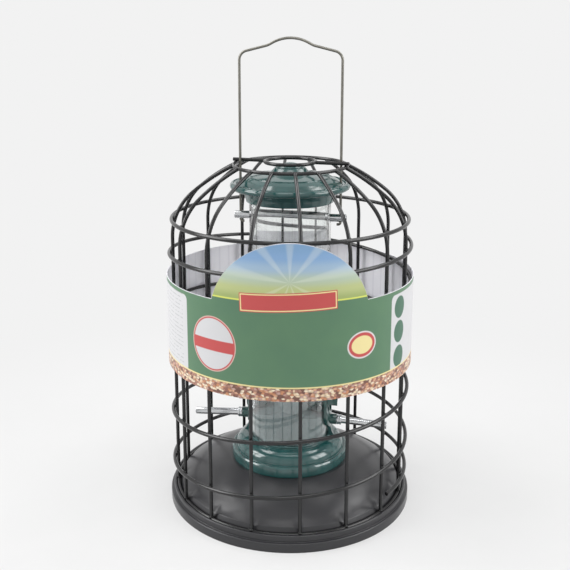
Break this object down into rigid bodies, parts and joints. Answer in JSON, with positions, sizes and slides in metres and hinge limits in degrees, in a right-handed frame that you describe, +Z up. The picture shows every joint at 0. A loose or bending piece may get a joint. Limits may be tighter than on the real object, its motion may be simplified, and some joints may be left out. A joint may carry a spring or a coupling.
{
  "type": "caged tube bird feeder",
  "caption": "Clear tube seed feeder on a pressed steel tray inside a domed wire cage, with seed ports, perches, a lifting lid and a wire handle.",
  "frame": {"origin": "on the ground under the tray, on the axis of the seed tube", "axes": "+Z up along the seed tube, +X to the right through the right port and perch, -Y to the front, where the card's arch is"},
  "size_m": [0.194, 0.194, 0.3656],
  "materials": {
    "tray_paint": "charcoal paint, satin",
    "tinted_plastic": "glossy grey-green moulding, slightly translucent",
    "clear_plastic": "clear and glossy",
    "baffle_plastic": "grey-green moulding",
    "perch_metal": "drawn aluminium",
    "handle_wire": "galvanised wire, dull",
    "zinc_hardware": "zinc plated",
    "cage_paint": "dark charcoal paint, satin",
    "printed_card": "printed card, satin"
  },
  "bodies": {
    "feeder": {"base_tray": "tray_paint", "tube_foot": "tinted_plastic", "seed_tube": "clear_plastic", "seed_baffle": "baffle_plastic", "port_left": "tinted_plastic", "port_right": "tinted_plastic", "perch_left": "perch_metal", "perch_right": "perch_metal", "cross_tube": "perch_metal", "bail_handle": "handle_wire", "base_bolt": "zinc_hardware", "bolt_washer": "zinc_hardware"},
    "cage": {"cage_bottom_ring": "cage_paint", "cage_shoulder_ring": "cage_paint", "cage_top_ring": "cage_paint", "crown_hoop": "cage_paint", "cage_winding": "cage_paint", "card_sleeve": "printed_card", "cage_rib_01": "cage_paint", "cage_rib_02": "cage_paint", "cage_rib_03": "cage_paint", "cage_rib_04": "cage_paint", "cage_rib_05": "cage_paint", "cage_rib_06": "cage_paint", "cage_rib_07": "cage_paint", "cage_rib_08": "cage_paint", "cage_rib_09": "cage_paint", "cage_rib_10": "cage_paint", "cage_rib_11": "cage_paint", "cage_rib_12": "cage_paint", "cage_rib_13": "cage_paint", "cage_rib_14": "cage_paint", "cage_rib_15": "cage_paint", "cage_rib_16": "cage_paint"},
    "lid": {"lid": "tinted_plastic"},
    "wing_nut": {"wing_nut": "zinc_hardware"}
  },
  "joints": [
    {"name": "cage_lift", "type": "slide", "parent": "feeder", "child": "cage", "axis": [0, 0, 1], "range_m": [0, 0.08]},
    {"name": "lid_lift", "type": "slide", "parent": "feeder", "child": "lid", "axis": [0, 0, 1], "range_m": [0, 0.072]},
    {"name": "wing_nut_turn", "type": "hinge", "parent": "feeder", "child": "wing_nut", "pos_m": [0, 0, 0.0256], "axis": [0, 0, 1], "continuous": true}
  ],
  "couplings": [
    {"joint": "lid_lift", "follows": "cage_lift", "ratio": 0.9}
  ]
}
